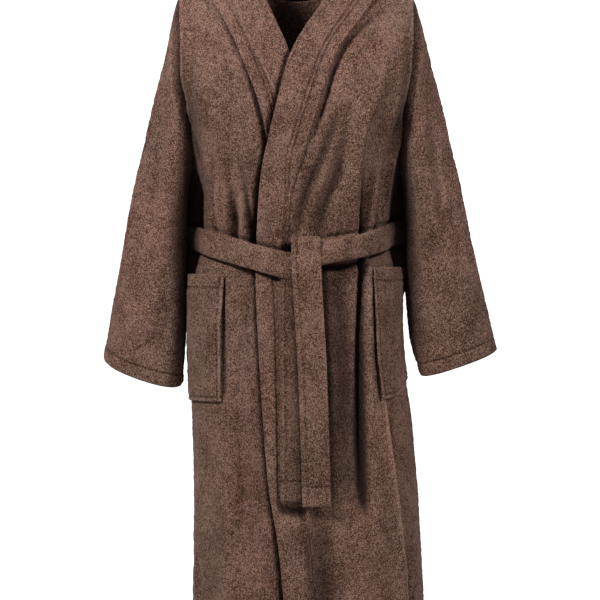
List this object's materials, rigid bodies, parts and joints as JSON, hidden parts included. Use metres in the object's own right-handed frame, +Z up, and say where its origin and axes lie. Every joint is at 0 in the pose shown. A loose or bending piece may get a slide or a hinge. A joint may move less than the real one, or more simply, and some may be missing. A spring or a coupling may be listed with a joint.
{
  "type": "hooded bathrobe",
  "caption": "Hooded terry bathrobe with a crossed front, patch pockets and a tied belt, filled out as worn, its hood lying on the back.",
  "frame": {"origin": "between the shoulders at the neck's height, where the wearer's shoulders hold the robe up", "axes": "+Z up along the robe's length, -Y out of the front, +X to the wearer's left"},
  "size_m": [0.6316, 0.3163, 1.2325],
  "materials": {
    "terry": "looped cotton terry, matt and fuzzy, taupe brown",
    "belt_terry": "doubled cotton terry, matt and fuzzy, taupe brown"
  },
  "bodies": {
    "root": {"back_bodice": "terry", "back_skirt": "terry", "front_left_bodice": "terry", "front_left_skirt": "terry", "front_right_bodice": "terry", "front_right_skirt": "terry", "band_left": "terry", "sleeve_left": "terry", "sleeve_right": "terry", "hood_left": "terry", "hood_right": "terry", "pocket_left": "terry", "pocket_right": "terry", "belt_wrap": "belt_terry", "belt_end_front": "belt_terry", "belt_end_back": "belt_terry"}
  },
  "joints": []
}
